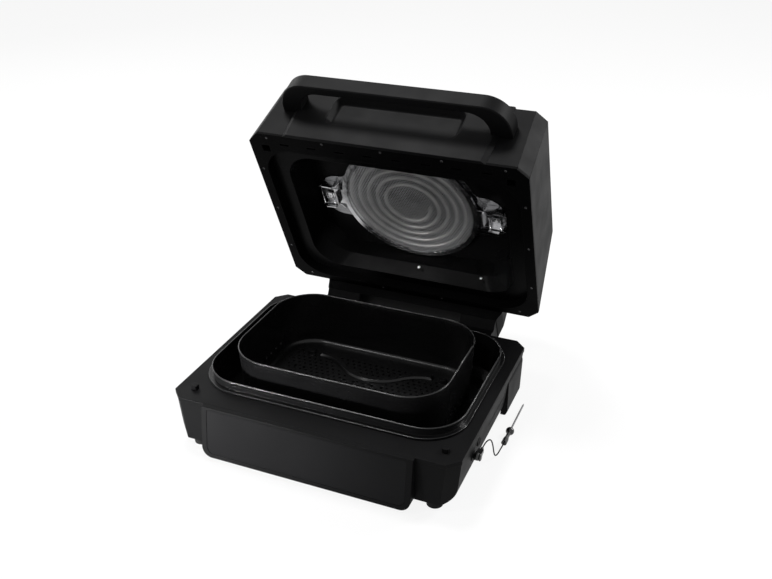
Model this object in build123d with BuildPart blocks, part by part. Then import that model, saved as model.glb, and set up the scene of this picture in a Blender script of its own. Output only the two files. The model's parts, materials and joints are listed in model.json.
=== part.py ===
"""A countertop air fryer grill with a hinged lid, standing open, in millimetres."""

import os
from math import atan2, cos, pi, radians, sin, tan

from build123d import *

os.makedirs("parts", exist_ok=True)

# Base
base_w = 420.0
base_d = 318.0
corner_cut = 16.0
deck_t = 6.0
deck_edge = 0.6
body_drop = 67.0
body_wall = 3.0
body_step = 0.8
side_draft = 6.0
rear_draft = 4.0
keel_r = 20.0
foot_h = 12.0
foot_r = 11.0
foot_in_x = 35.0
foot_in_y = 17.0
lug_size = 9.0
lug_h = 6.0
lug_bevel = 1.5
lug_clear = 1.5
lug_in_x = 25.5
lug_in_y = 27.0
service_in_x = 60.0
service_in_y = 61.0
service_lap = 8.0
service_t = 2.0
slot_l = 22.0
slot_w = 4.0
slot_pitch = 44.0
inlet_x = -125.0
inlet_z = -40.0
inlet_w = 30.0
inlet_h = 22.0
inlet_r = 5.0
inlet_proud = 3.0

# Control panel on the front of the base
panel_in = 56.5
panel_top_reach = 6.5
panel_reach = 17.2
panel_lift = 4.0
panel_r = 15.0
glass_in = 8.0
glass_top = 4.0
glass_low = 5.0
glass_r = 10.0
glass_top_r = 2.0
glass_t = 3.0
glass_clear = 0.3
glass_lap = 6.0
board_t = 1.6
board_clear = 0.4
board_edge = 9.0
board_r = 3.0
power_w = 110.0
power_d = 24.0
pillar_in = 10.0
pillar_w = 5.0
pillar_h = 1.0

# Cooking pot, which hangs in the deck by its flange
deck_side = 20.3
deck_front = 39.2
deck_rear = 20.0
pot_r = 57.7
pot_lip_z = 14.5
pot_room = 13.0
pot_wall = 2.0
pot_draft = 5.0
pot_floor_r = 12.0
flange_side = 4.4
flange_front = 6.2
flange_rear = 8.6
flange_t = 2.9
seat_clear = 1.2
well_wall = 1.5
well_lap = 5.0
well_gap = 3.0
well_cut = 26.0

# Crisper basket, which stands in the pot
basket_side = 32.1
basket_front = 20.9
basket_rear = 24.5
basket_r = 59.6
basket_rim_z = 40.5
basket_wall = 2.0
basket_draft = 5.0
basket_floor_r = 10.0
basket_foot_h = 8.0
basket_foot_r = 7.0
boss_in_x = 49.6
boss_in_y = 41.7
boss_r = 8.0
boss_h = 5.0
boss_taper = 20.0
rib_short = 16.0
rib_near = 27.0
rib_w = 12.0
rib_h = 4.0
rib_bevel = 2.5
hole_r = 2.6
hole_pitch = 15.0
wall_hole_up = 18.0

# Lid, with the heights that it has when it is closed
lid_gap = 4.0
lid_h = 114.0
lid_draft = 5.0
lid_lean = 63.0
lid_wall = 3.0
frame_t = 4.0
frame_side = 14.0
frame_front = 28.0
frame_rear = 9.0
mouth_r = 50.0
mouth_lap = 3.5
skirt_draft = 1.5
latch_slot_in = 12.0
latch_slot_w = 14.0
latch_slot_d = 2.5
latch_pitch = 43.5
latch_slots = 8
ledge_z = 19.5
ledge_side = 25.0
ledge_front_in = 21.5
ledge_rear_in = 16.0
ledge_r = 47.0
shoulder_z = 40.0
shoulder_side = 6.0
shoulder_rear_in = 10.0
ceiling_z = 66.0
ceiling_side = 9.0
ceiling_rear_in = 6.0
liner_r = 55.0
liner_wall = 1.5

# Raised panel that runs up the lid's front, over its top and down to the hinge
spine_proud = 5.0
spine_in_top = 51.0
spine_in_rim = 59.0
spine_in_foot = 64.0
spine_rear_in = 41.0
spine_r = 10.0
spine_wall = 3.0
spine_bevel_in = 6.5
spine_bevel_down = 4.5
tail_over = 13.0
tail_z = -12.0
tail_gap = 2.0
recess_w = 202.0
recess_h = 60.0
recess_z = 67.5
recess_r = 14.0
recess_depth = 10.0
recess_wall = 1.5
recess_slope = 8.0
recess_floor_r = 5.0
vent_w = 22.0
vent_h = 5.0
vent_pitch = 30.0
vent_row = 12.0

# Handle
handle_in = 37.0
handle_out = 50.0
handle_bar = 12.0
handle_leg = 30.0
handle_low = 57.5
handle_h = 27.0
handle_r = 42.0
handle_gap_r = 32.0
handle_edge = 1.5

# Hinge
hinge_out = 34.0
hinge_z = -46.0
open_angle = 66.0
knuckle_r = 28.0
arm_edge = 1.0
arm_rear = 26.0
arm_rear_up = 9.0
arm_belly = 24.0
arm_belly_up = 13.0
arm_waist = 21.5
arm_waist_up = 20.0
arm_w = 57.0
shaft_r = 4.0
shaft_in = 4.0
shaft_clear = 0.05
barrel_r = 20.0
barrel_gap = 4.0
barrel_rise = 30.0

# Splash guard, which hangs under the lid by its ears
guard_room = 3.5
guard_gap = 1.0
guard_band = 7.0
guard_t = 1.2
guard_rim_h = 2.5
guard_ear = 15.0
guard_ear_w = 30.0
guard_fit = 0.3
guard_pitch = 21.0
guard_hole = 15.0
disc_t = 0.6
latch_gap = 0.3
latch_drop = 15.0
latch_side = 1.5
latch_t = 1.5
latch_rail = 31.0
latch_rail_up = 2.0
tab_in = 6.0
tab_t = 2.0
tab_w = 26.0
tab_h = 7.0

# Heater, shroud and fan above it
heater_r = 3.2
heater_turns = 5
heater_first = 32.0
heater_in = 5.0
bar_t = 0.8
bar_w = 7.0
bar_start = 24.0
bar_over = 8.0
shroud_t = 1.5
shroud_over = 1.0
shroud_hole_r = 58.0
shroud_slots = 12
shroud_slot_w = 6.0
shroud_slot_l = 22.0
shroud_slot_in = 20.0
ear_room = 5.0
ear_w = 84.0
ear_back = 8.0
ear_r = 32.0
ear_neck_r = 14.0
drum_in = 19.0
drum_h = 26.0
wheel_room = 14.0
wheel_t = 1.5
wheel_gap = 3.0
hub_r = 12.0
blade_count = 12
blade_in = 1.0
blade_t = 1.5
blade_turn = 20.0
blade_h = 15.0
motor_r = 27.0
motor_gap = 2.0
motor_bore = 10.0
motor_shaft_r = 3.0
shaft_room = 2.0

# Food probe that plugs into the base's right side and lies beside it
socket_y = -86.0
socket_z = -34.0
socket_r = 7.0
socket_l = 15.0
socket_proud = 1.0
jack_r = 1.75
jack_l = 11.0
jack_clear = 0.1
plug_gap = 0.3
plug_r = 3.5
plug_l = 9.5
boot_l = 15.0
boot_end_w = 7.0
boot_end_h = 5.0
cord_d = 1.8
cord_sides = 8
grip_tail_r = 4.0
grip_tail_l = 9.0
grip_waist_r = 2.8
grip_waist_x = 17.0
grip_bulb_r = 6.0
grip_bulb_x = 32.0
grip_nose = 3.0
grip_nose_r = 1.9
needle_r = 1.3
needle_l = 71.0
needle_point = 6.0

# Heights
deck_z = body_drop + foot_h
rim_z = lid_gap
lid_top = rim_z + lid_h
frame_top = rim_z + frame_t
shroud_low = ceiling_z - liner_wall - shroud_t
drum_top = ceiling_z + drum_h

# Plan of the base, where x and y run from the middle of the deck
lug_x = base_w / 2 - lug_in_x
lug_y = base_d / 2 - lug_in_y
pot_w = base_w - 2 * deck_side
pot_d = base_d - deck_front - deck_rear
pot_back = (deck_front - deck_rear) / 2
pot_floor_z = pot_room - body_drop
basket_w = pot_w - 2 * basket_side
basket_d = pot_d - basket_front - basket_rear
basket_back = pot_back + (basket_front - basket_rear) / 2
basket_under = pot_floor_z + pot_wall + basket_foot_h
basket_floor_z = basket_under + basket_wall
hinge_y = base_d / 2 + hinge_out

# Plan of the lid
mouth_w = base_w - 2 * frame_side
mouth_front = frame_front - base_d / 2
mouth_rear = base_d / 2 - frame_rear
ledge_w = mouth_w - 2 * ledge_side
ledge_front = mouth_front + ledge_front_in
ledge_rear = mouth_rear - ledge_rear_in
shoulder_w = ledge_w - 2 * shoulder_side
shoulder_rear = ledge_rear - shoulder_rear_in
ceiling_w = shoulder_w - 2 * ceiling_side
ceiling_rear = shoulder_rear - ceiling_rear_in
fan_back = (ledge_front + ceiling_rear) / 2
guard_r = (ceiling_rear - ledge_front) / 2 - guard_room
shroud_r = guard_r + shroud_over
drum_r = shroud_r - drum_in
spine_rear = base_d / 2 - spine_rear_in
spine_top = lid_top + spine_proud
tail_y = hinge_y + tail_over
tail_front = base_d / 2 + tail_gap
spine_half_foot = base_w / 2 - spine_in_foot
arm_out = spine_half_foot - arm_edge
arm_in = arm_out - arm_w


def swung(y, z):
    """Where a point of the closed lid lies once the lid is open, seen from the side."""
    turn = radians(open_angle)
    dy = y - hinge_y
    dz = z - hinge_z
    return hinge_y + dy * cos(turn) + dz * sin(turn), hinge_z - dy * sin(turn) + dz * cos(turn)


# The origin is on the floor, under the middle of the open cooker
front_reach = base_d / 2 + panel_reach
rear_reach = swung(spine_rear, spine_top)[0]
base_y = (front_reach - rear_reach) / 2

deck = Plane(origin=(0, base_y, deck_z))
lid_y, lid_z = swung(0, 0)
lid = Plane(
    origin=(0, base_y + lid_y, deck_z + lid_z),
    x_dir=(1, 0, 0),
    z_dir=(0, sin(radians(open_angle)), cos(radians(open_angle))),
)


def side(of, x):
    """The plane across a part at x: its own x runs back and its y up."""
    return Plane(origin=of.from_local_coords((x, 0, 0)), x_dir=of.y_dir, z_dir=of.x_dir)


def face(of, y):
    """The plane along a part at y, seen from the front: its own x runs right and its y up."""
    return Plane(origin=of.from_local_coords((0, y, 0)), x_dir=of.x_dir, z_dir=-of.y_dir)


def octagon(plane, width, depth, cut, back=0.0):
    """A rectangle with its corners cut off."""
    with BuildSketch(plane) as outline:
        with Locations((0, back)):
            Rectangle(width, depth)
        chamfer(outline.vertices(), cut)
    return outline.sketch


def rounded(plane, width, depth, radius, back=0.0):
    """A rectangle with round corners."""
    with BuildSketch(plane) as outline:
        with Locations((0, back)):
            RectangleRounded(width, depth, radius)
    return outline.sketch


def between(plane, width, front, rear, radius):
    """A rectangle with round corners that runs from front to rear."""
    return rounded(plane, width, rear - front, radius, (front + rear) / 2)


def tub(top_z, floor_z, width, depth, radius, draft, back, inset):
    """A filled tub form with drafted walls, drawn in by inset."""
    with BuildPart() as form:
        loft(
            sections=[
                rounded(deck.offset(top_z), width - 2 * inset, depth - 2 * inset, radius - inset, back),
                rounded(
                    deck.offset(floor_z + inset),
                    width - 2 * (inset + draft),
                    depth - 2 * (inset + draft),
                    radius - inset - draft,
                    back,
                ),
            ]
        )
    return form.part


def lowest_edges(part):
    """The edges round the bottom of a part."""
    return part.edges().group_by(Axis.Z)[0]


def body_form(inset):
    """The base's outer form, drawn in by inset all round."""
    top_w = base_w - 2 * (body_step + inset)
    top_d = base_d - 2 * (body_step + inset)
    low_w = top_w - 2 * side_draft
    low_z = inset - body_drop
    with BuildPart() as form:
        loft(
            sections=[
                octagon(deck.offset(-deck_t), top_w, top_d, corner_cut),
                octagon(deck.offset(low_z), low_w, top_d - rear_draft, corner_cut, -rear_draft / 2),
            ]
        )
        with BuildSketch(face(deck, 0)) as front_view:
            with BuildLine():
                Polyline(
                    (-top_w / 2, -deck_t),
                    (top_w / 2, -deck_t),
                    (low_w / 2, low_z),
                    (-low_w / 2, low_z),
                    close=True,
                )
            make_face()
            fillet(front_view.vertices().group_by(Axis.Y)[0], keel_r - inset)
        extrude(amount=base_d, both=True, mode=Mode.INTERSECT)
    return form.part


def rear_wall_y(z):
    """The drafted rear wall's outer face at height z."""
    share = (-z - deck_t) / (body_drop - deck_t)
    return base_d / 2 - body_step - rear_draft * share


def side_wall_x(z):
    """The drafted side wall's outer face at height z."""
    share = (-z - deck_t) / (body_drop - deck_t)
    return base_w / 2 - body_step - side_draft * share


# Housing of the base, a moulded tray that the deck closes
with BuildPart() as base_body:
    add(body_form(0))
    add(body_form(body_wall), mode=Mode.SUBTRACT)
    with BuildSketch(deck.offset(-body_drop)):
        Rectangle(base_w - 2 * service_in_x, base_d - 2 * service_in_y)
    extrude(amount=body_wall, mode=Mode.SUBTRACT)
    with BuildSketch(side(deck, base_w / 2)):
        with Locations((socket_y, socket_z)):
            Circle(socket_r)
    extrude(amount=-2 * keel_r, mode=Mode.SUBTRACT)
base_body.part.label = "base_body"
export_step(base_body.part, "parts/base_body.step")

# Deck, the plate round the pot that the lid closes on
with BuildPart() as base_deck:
    extrude(octagon(deck, base_w, base_d, corner_cut), amount=-deck_t)
    extrude(
        rounded(deck, pot_w + 2 * seat_clear, pot_d + 2 * seat_clear, pot_r, pot_back),
        amount=-deck_t,
        mode=Mode.SUBTRACT,
    )
    top_edges = base_deck.edges().group_by(Axis.Z)[-1]
    chamfer(top_edges.filter_by(GeomType.LINE).filter_by(Axis.X), deck_edge)
base_deck.part.label = "base_deck"
export_step(base_deck.part, "parts/base_deck.step")

# Two blocks on the deck that the lid's pockets close over
with BuildPart() as closing_lugs:
    with BuildSketch(deck):
        with Locations((-lug_x, -lug_y), (lug_x, -lug_y)):
            Rectangle(lug_size, lug_size)
    extrude(amount=lug_h)
    chamfer(closing_lugs.edges().filter_by(Axis.Z), lug_bevel)
closing_lugs.part.label = "closing_lugs"
export_step(closing_lugs.part, "parts/closing_lugs.step")

# Service plate that closes the underside, with its air slots
plate_z = body_wall - body_drop
with BuildPart() as base_plate:
    with BuildSketch(deck.offset(plate_z)):
        Rectangle(
            base_w - 2 * (service_in_x - service_lap),
            base_d - 2 * (service_in_y - service_lap),
        )
        with GridLocations(slot_pitch, slot_pitch, 5, 3):
            Rectangle(slot_l, slot_w, mode=Mode.SUBTRACT)
    extrude(amount=service_t)
base_plate.part.label = "base_plate"
export_step(base_plate.part, "parts/base_plate.step")

# Four feet
with BuildPart() as feet:
    with BuildSketch(deck.offset(-body_drop)):
        with GridLocations(base_w - 2 * foot_in_x, base_d - 2 * foot_in_y, 2, 2):
            Circle(foot_r)
    extrude(amount=-foot_h)
feet.part.label = "feet"
export_step(feet.part, "parts/feet.step")

# Well, the folded heat shield that the pot hangs in
well_top = -deck_t
well_floor = pot_floor_z - well_gap


def well_form(inset):
    """The well's drafted form with its corners cut, drawn in by inset."""
    with BuildPart() as form:
        loft(
            sections=[
                octagon(deck.offset(z), w - 2 * inset, d - 2 * inset, well_cut, pot_back)
                for z, w, d in (
                    (well_top, pot_w, pot_d),
                    (well_floor + inset, pot_w - 2 * pot_draft, pot_d - 2 * pot_draft),
                )
            ]
        )
    return form.part


with BuildPart() as pot_well:
    add(well_form(-well_wall))
    extrude(
        octagon(deck.offset(well_top), pot_w + 2 * well_lap, pot_d + 2 * well_lap, well_cut, pot_back),
        amount=-well_wall,
    )
    add(well_form(0), mode=Mode.SUBTRACT)
pot_well.part.label = "pot_well"
export_step(pot_well.part, "parts/pot_well.step")

# Housing of the control panel, which leans back a little
panel_w = base_w - 2 * panel_in
panel_drop = deck_z - panel_lift
lean = atan2(panel_reach - panel_top_reach, panel_drop)
panel = Plane(
    origin=deck.from_local_coords((0, -base_d / 2 - panel_top_reach, 0)),
    x_dir=(1, 0, 0),
    z_dir=(0, -cos(lean), sin(lean)),
)
panel_back = body_step - base_d / 2


def panel_window(plane, inset, radius, top_radius):
    """The panel's glass drawn in by inset, with small upper corners and large lower ones."""
    width = panel_w - 2 * (glass_in + inset)
    height = panel_drop - glass_top - glass_low - 2 * inset
    with BuildSketch(plane) as outline:
        with Locations((0, -glass_top - inset - height / 2)):
            Rectangle(width, height)
        fillet(outline.vertices().group_by(Axis.Y)[0], radius)
        fillet(outline.vertices().group_by(Axis.Y)[-1], top_radius)
    return outline.sketch


board_room = glass_t + board_t + board_clear
with BuildPart() as panel_housing:
    with BuildSketch(side(deck, -panel_w / 2)):
        with BuildLine():
            Polyline(
                (-base_d / 2, 0),
                (-base_d / 2 - panel_top_reach, 0),
                (-base_d / 2 - panel_reach, -panel_drop),
                (panel_back, -panel_drop),
                (panel_back, -deck_t),
                (-base_d / 2, -deck_t),
                close=True,
            )
        make_face()
    extrude(amount=panel_w)
    low_sides = panel_housing.edges().filter_by(Axis.Y).group_by(Axis.Z)[0]
    fillet(low_sides, panel_r)
    extrude(panel_window(panel, 0, glass_r, glass_top_r), amount=-glass_t, mode=Mode.SUBTRACT)
    extrude(
        panel_window(panel, glass_lap, glass_r - board_r, glass_top_r),
        amount=-board_room,
        mode=Mode.SUBTRACT,
    )
panel_housing.part.label = "panel_housing"
export_step(panel_housing.part, "parts/panel_housing.step")

# Black glass of the control panel
with BuildPart() as panel_glass:
    extrude(
        panel_window(panel.offset(-glass_clear), glass_clear, glass_r, glass_top_r),
        amount=glass_clear - glass_t,
    )
panel_glass.part.label = "panel_glass"
export_step(panel_glass.part, "parts/panel_glass.step")

# Circuit board behind the glass
with BuildPart() as control_board:
    extrude(panel_window(panel.offset(-board_room), board_edge, board_r, board_r), amount=board_t)
control_board.part.label = "control_board"
export_step(control_board.part, "parts/control_board.step")

# Power board on its pillars, which stand on the service plate
board_z = plate_z + service_t
with BuildPart() as power_board:
    with BuildSketch(deck.offset(board_z)):
        with GridLocations(power_w - 2 * pillar_in, power_d - pillar_in, 2, 2):
            Rectangle(pillar_w, pillar_w)
    extrude(amount=pillar_h)
    with BuildSketch(deck.offset(board_z + pillar_h)):
        Rectangle(power_w, power_d)
    extrude(amount=board_t)
power_board.part.label = "power_board"
export_step(power_board.part, "parts/power_board.step")

# Hinge housing behind the rear wall, which carries the shaft
with BuildPart() as hinge_housing:
    with BuildSketch(side(deck, -arm_in + barrel_gap)) as barrel:
        with BuildLine():
            Polyline(
                (rear_wall_y(hinge_z + barrel_rise), hinge_z + barrel_rise),
                (hinge_y, hinge_z + barrel_r),
                (hinge_y, hinge_z - barrel_r),
                (rear_wall_y(hinge_z - barrel_r), hinge_z - barrel_r),
                close=True,
            )
        make_face()
        with Locations((hinge_y, hinge_z)):
            Circle(barrel_r)
            Circle(shaft_r + shaft_clear, mode=Mode.SUBTRACT)
    extrude(amount=2 * (arm_in - barrel_gap))
hinge_housing.part.label = "hinge_housing"
export_step(hinge_housing.part, "parts/hinge_housing.step")

# Steel shaft that the lid turns on
shaft_end = arm_out - shaft_in
with BuildPart() as hinge_shaft:
    with BuildSketch(side(deck, -shaft_end)):
        with Locations((hinge_y, hinge_z)):
            Circle(shaft_r)
    extrude(amount=2 * shaft_end)
hinge_shaft.part.label = "hinge_shaft"
export_step(hinge_shaft.part, "parts/hinge_shaft.step")

# Cord inlet on the rear wall
with BuildPart() as cord_inlet:
    with BuildSketch(face(deck, base_d / 2 + inlet_proud)):
        with Locations((inlet_x, inlet_z)):
            RectangleRounded(inlet_w, inlet_h, inlet_r)
    extrude(amount=2 * inlet_proud + rear_draft)
    add(body_form(0), mode=Mode.SUBTRACT)
cord_inlet.part.label = "cord_inlet"
export_step(cord_inlet.part, "parts/cord_inlet.step")

# Pot, with its flange on the deck and its lip above it
flange_w = pot_w + 2 * flange_side
flange_d = pot_d + flange_front + flange_rear
flange_back = pot_back + (flange_rear - flange_front) / 2
pot_form = (pot_lip_z, pot_floor_z, pot_w, pot_d, pot_r, pot_draft, pot_back)
with BuildPart(mode=Mode.PRIVATE) as pot_room_form:
    add(tub(*pot_form, pot_wall))
    chamfer(lowest_edges(pot_room_form), pot_floor_r - pot_wall)
with BuildPart() as inner_pot:
    add(tub(*pot_form, 0))
    chamfer(lowest_edges(inner_pot), pot_floor_r)
    extrude(rounded(deck, flange_w, flange_d, pot_r + flange_side, flange_back), amount=flange_t)
    add(pot_room_form.part, mode=Mode.SUBTRACT)
inner_pot.part.label = "inner_pot"
export_step(inner_pot.part, "parts/inner_pot.step")


def pressed_rib(hand):
    """A wavy rib across the basket's floor, nearest the middle halfway along."""
    reach = basket_w / 2 - boss_in_x - rib_short
    far = basket_d / 2 - boss_in_y
    middle = (far + rib_near) / 2
    with BuildPart() as rib:
        with BuildSketch(deck.offset(basket_floor_z - basket_wall / 2)):
            with BuildLine():
                bend = TangentArc(
                    (-reach, basket_back + hand * far),
                    (-reach / 2, basket_back + hand * middle),
                    tangent=(1, 0),
                )
                for x, y in ((0, rib_near), (reach / 2, middle), (reach, far)):
                    bend = TangentArc(bend @ 1, (x, basket_back + hand * y), tangent=bend % 1)
            trace(line_width=rib_w)
        extrude(amount=rib_h + basket_wall / 2)
        chamfer(rib.edges().group_by(Axis.Z)[-1], rib_bevel)
    return rib.part


# Crisper basket, holed in its floor and low in its walls, with two pressed ribs
boss_x = basket_w / 2 - boss_in_x
boss_y = basket_d / 2 - boss_in_y
basket_form = (basket_rim_z, basket_under, basket_w, basket_d, basket_r, basket_draft, basket_back)
with BuildPart(mode=Mode.PRIVATE) as basket_room:
    add(tub(*basket_form, basket_wall))
    fillet(lowest_edges(basket_room), basket_floor_r - basket_wall)
with BuildPart() as crisper_basket:
    add(tub(*basket_form, 0))
    chamfer(lowest_edges(crisper_basket), basket_floor_r - 2 * basket_wall)
    add(basket_room.part, mode=Mode.SUBTRACT)
    with BuildSketch(deck.offset(basket_floor_z)):
        with Locations((0, basket_back)):
            with GridLocations(2 * boss_x, 2 * boss_y, 2, 2):
                RegularPolygon(boss_r, 12)
    extrude(amount=boss_h, taper=boss_taper)
    for hand in (1, -1):
        add(pressed_rib(hand))
    with BuildSketch(deck.offset(basket_floor_z + boss_h)):
        with Locations((0, basket_back)):
            with GridLocations(hole_pitch, hole_pitch, 5, 3):
                RegularPolygon(hole_r, 6)
        with Locations((-boss_x, basket_back), (boss_x, basket_back)):
            with GridLocations(hole_pitch, hole_pitch, 2, 4):
                RegularPolygon(hole_r, 6)
    extrude(amount=-boss_h - 2 * basket_wall, mode=Mode.SUBTRACT)
    with BuildSketch(side(deck, -basket_w / 2)):
        with Locations((basket_back, basket_floor_z + wall_hole_up)):
            with GridLocations(hole_pitch, 1, 7, 1):
                RegularPolygon(hole_r, 6)
    extrude(amount=basket_w, mode=Mode.SUBTRACT)
crisper_basket.part.label = "crisper_basket"
export_step(crisper_basket.part, "parts/crisper_basket.step")

# Feet that stand the basket on the pot's floor
with BuildPart() as basket_feet:
    with BuildSketch(deck.offset(basket_under)):
        with Locations((0, basket_back)):
            with GridLocations(2 * boss_x, 2 * boss_y, 2, 2):
                RegularPolygon(basket_foot_r, 12)
    extrude(amount=pot_floor_z + pot_wall - basket_under)
basket_feet.part.label = "basket_feet"
export_step(basket_feet.part, "parts/basket_feet.step")

# Lid's outer shell, open below
lid_d_top = base_d - lid_lean


def lid_form(inset, low, high):
    """The lid's outer form between two heights, drawn in by inset."""
    with BuildPart() as form:
        loft(
            sections=[
                octagon(lid.offset(low), base_w - 2 * inset, base_d - 2 * inset, corner_cut),
                octagon(
                    lid.offset(high),
                    base_w - 2 * (lid_draft + inset),
                    lid_d_top - 2 * inset,
                    corner_cut,
                    -lid_lean / 2,
                ),
            ]
        )
    return form.part


with BuildPart() as lid_shell:
    add(lid_form(0, frame_top, lid_top))
    add(lid_form(lid_wall, frame_top, lid_top - lid_wall), mode=Mode.SUBTRACT)
    with BuildSketch(face(lid, -base_d / 2)):
        with Locations((0, recess_z)):
            RectangleRounded(recess_w, recess_h, recess_r)
    extrude(amount=-2 * lid_wall, mode=Mode.SUBTRACT)
lid_shell.part.label = "lid_shell"
export_step(lid_shell.part, "parts/lid_shell.step")

# Frame round the lid's mouth, with latch slots and the pockets for the lugs
with BuildPart() as lid_frame:
    extrude(octagon(lid.offset(rim_z), base_w, base_d, corner_cut), amount=frame_t)
    extrude(
        between(lid.offset(rim_z), mouth_w, mouth_front, mouth_rear, mouth_r),
        amount=frame_t,
        mode=Mode.SUBTRACT,
    )
    with BuildSketch(lid.offset(rim_z)):
        with Locations((-lug_x, -lug_y), (lug_x, -lug_y)):
            Rectangle(lug_size + 2 * lug_clear, lug_size + 2 * lug_clear)
        with Locations((0, mouth_front - latch_slot_in)):
            with GridLocations(latch_pitch, 1, latch_slots, 1):
                Rectangle(latch_slot_w, latch_slot_d)
    extrude(amount=frame_t, mode=Mode.SUBTRACT)
lid_frame.part.label = "lid_frame"
export_step(lid_frame.part, "parts/lid_frame.step")


skirt = (mouth_w, mouth_front, mouth_rear, mouth_r)
skirt_top = (mouth_w - 2 * skirt_draft, mouth_front + skirt_draft, mouth_rear - skirt_draft, mouth_r)
ledge = (ledge_w, ledge_front, ledge_rear, ledge_r)
shoulder = (shoulder_w, ledge_front, shoulder_rear, liner_r)
ceiling = (ceiling_w, ledge_front, ceiling_rear, liner_r)
ledge_low = ledge_z - liner_wall
ceiling_low = ceiling_z - liner_wall


def outlined(z, outline, inset):
    """One of the cavity's outlines at height z, drawn in by inset."""
    w, front, rear, radius = outline
    return between(lid.offset(z), w - 2 * inset, front + inset, rear - inset, radius - inset)


def cavity(levels, inset):
    """A stack of the cavity's levels, drawn in by inset."""
    with BuildPart() as form:
        for (low, low_outline), (high, high_outline) in zip(levels, levels[1:]):
            loft(sections=[outlined(low, low_outline, inset), outlined(high, high_outline, inset)])
    return form.part


# Skirt round the lid's mouth, which closes over the pot's lip
skirt_levels = [(rim_z, skirt), (ledge_low, skirt_top)]
with BuildPart() as lid_skirt:
    add(cavity(skirt_levels, 0))
    extrude(outlined(frame_top, skirt, -mouth_lap), amount=liner_wall)
    add(cavity(skirt_levels, liner_wall), mode=Mode.SUBTRACT)
lid_skirt.part.label = "lid_skirt"
export_step(lid_skirt.part, "parts/lid_skirt.step")

# Stepped walls of the lid's cavity, with the ledge that lies on the skirt
wall_levels = [(ledge_low, ledge), (shoulder_z, shoulder), (ceiling_low, ceiling)]
with BuildPart() as lid_liner:
    add(cavity(wall_levels, 0))
    extrude(outlined(ledge_low, skirt_top, 0), amount=liner_wall)
    add(cavity(wall_levels, liner_wall), mode=Mode.SUBTRACT)
lid_liner.part.label = "lid_liner"
export_step(lid_liner.part, "parts/lid_liner.step")

# Ceiling of the cavity, with the fan's drum pressed up from it
with BuildPart() as lid_ceiling:
    extrude(outlined(ceiling_low, ceiling, 0), amount=liner_wall)
    with BuildSketch(lid.offset(ceiling_z)):
        with Locations((0, fan_back)):
            Circle(drum_r)
    extrude(amount=drum_h)
    with BuildSketch(lid.offset(ceiling_low)):
        with Locations((0, fan_back)):
            Circle(drum_r - liner_wall)
    extrude(amount=drum_h, mode=Mode.SUBTRACT)
    with BuildSketch(lid.offset(drum_top)):
        with Locations((0, fan_back)):
            Circle(motor_shaft_r + shaft_room)
    extrude(amount=-2 * liner_wall, mode=Mode.SUBTRACT)
lid_ceiling.part.label = "lid_ceiling"
export_step(lid_ceiling.part, "parts/lid_ceiling.step")

# Shroud plate over the fan, with an ear on each side for the guard's latches
ear_half = ceiling_w / 2 - ear_room
with BuildPart() as shroud_plate:
    with BuildSketch(lid.offset(shroud_low)) as shroud:
        with Locations((0, fan_back)):
            Circle(shroud_r)
        with Locations((0, fan_back + ear_back)):
            RectangleRounded(2 * ear_half, ear_w, ear_r)
        necks = [corner for corner in shroud.vertices() if abs(corner.X) < shroud_r]
        fillet(necks, ear_neck_r)
        with Locations((0, fan_back)):
            Circle(shroud_hole_r, mode=Mode.SUBTRACT)
            with PolarLocations(shroud_r - shroud_slot_in, shroud_slots):
                Rectangle(shroud_slot_w, shroud_slot_l, mode=Mode.SUBTRACT)
    extrude(amount=shroud_t)
shroud_plate.part.label = "shroud_plate"
export_step(shroud_plate.part, "parts/shroud_plate.step")

# Heating element, one tube wound in half turns that each widen it by half a pitch
flat_half = heater_r * cos(pi / 6)
heater_z = shroud_low - bar_t - flat_half
heater_out = guard_r - guard_band - heater_in
heater_step = (heater_out - heater_first) / (2 * heater_turns - 1)
with BuildPart() as heating_element:
    with BuildLine(lid.offset(heater_z)) as winding:
        start = (heater_first, fan_back)
        for n in range(2 * heater_turns):
            radius = heater_first + heater_step * n
            way = 1 if n % 2 == 0 else -1
            end = (start[0] - way * 2 * radius, fan_back)
            ThreePointArc(start, ((start[0] + end[0]) / 2, fan_back + way * radius), end)
            start = end
    with BuildSketch(Plane(origin=winding.line @ 0, x_dir=lid.x_dir, z_dir=winding.line % 0)):
        RegularPolygon(heater_r, 6)
    sweep(path=winding.line)
heating_element.part.label = "heating_element"
export_step(heating_element.part, "parts/heating_element.step")

# Bars under the shroud that the element hangs from
bar_l = heater_out + bar_over - bar_start
with BuildPart() as heater_bars:
    with BuildSketch(lid.offset(shroud_low)):
        with Locations((0, fan_back)):
            with PolarLocations(bar_start + bar_l / 2, 3, start_angle=90):
                Rectangle(bar_l, bar_w)
    extrude(amount=-bar_t)
heater_bars.part.label = "heater_bars"
export_step(heater_bars.part, "parts/heater_bars.step")

# Splash guard's ring, with an ear on each side
guard_z = heater_z - flat_half - guard_gap - disc_t
ring_low = guard_z - guard_t
with BuildPart() as guard_ring:
    with BuildSketch(lid.offset(ring_low)):
        with Locations((0, fan_back)):
            Circle(guard_r)
            with Locations((-guard_r, 0), (guard_r, 0)):
                Rectangle(2 * guard_ear, guard_ear_w)
            Circle(guard_r - guard_band, mode=Mode.SUBTRACT)
    extrude(amount=guard_t)
    with BuildSketch(lid.offset(guard_z)):
        with Locations((0, fan_back)):
            Circle(guard_r)
            Circle(guard_r - guard_t, mode=Mode.SUBTRACT)
    extrude(amount=guard_rim_h)
guard_ring.part.label = "guard_ring"
export_step(guard_ring.part, "parts/guard_ring.step")

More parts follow.
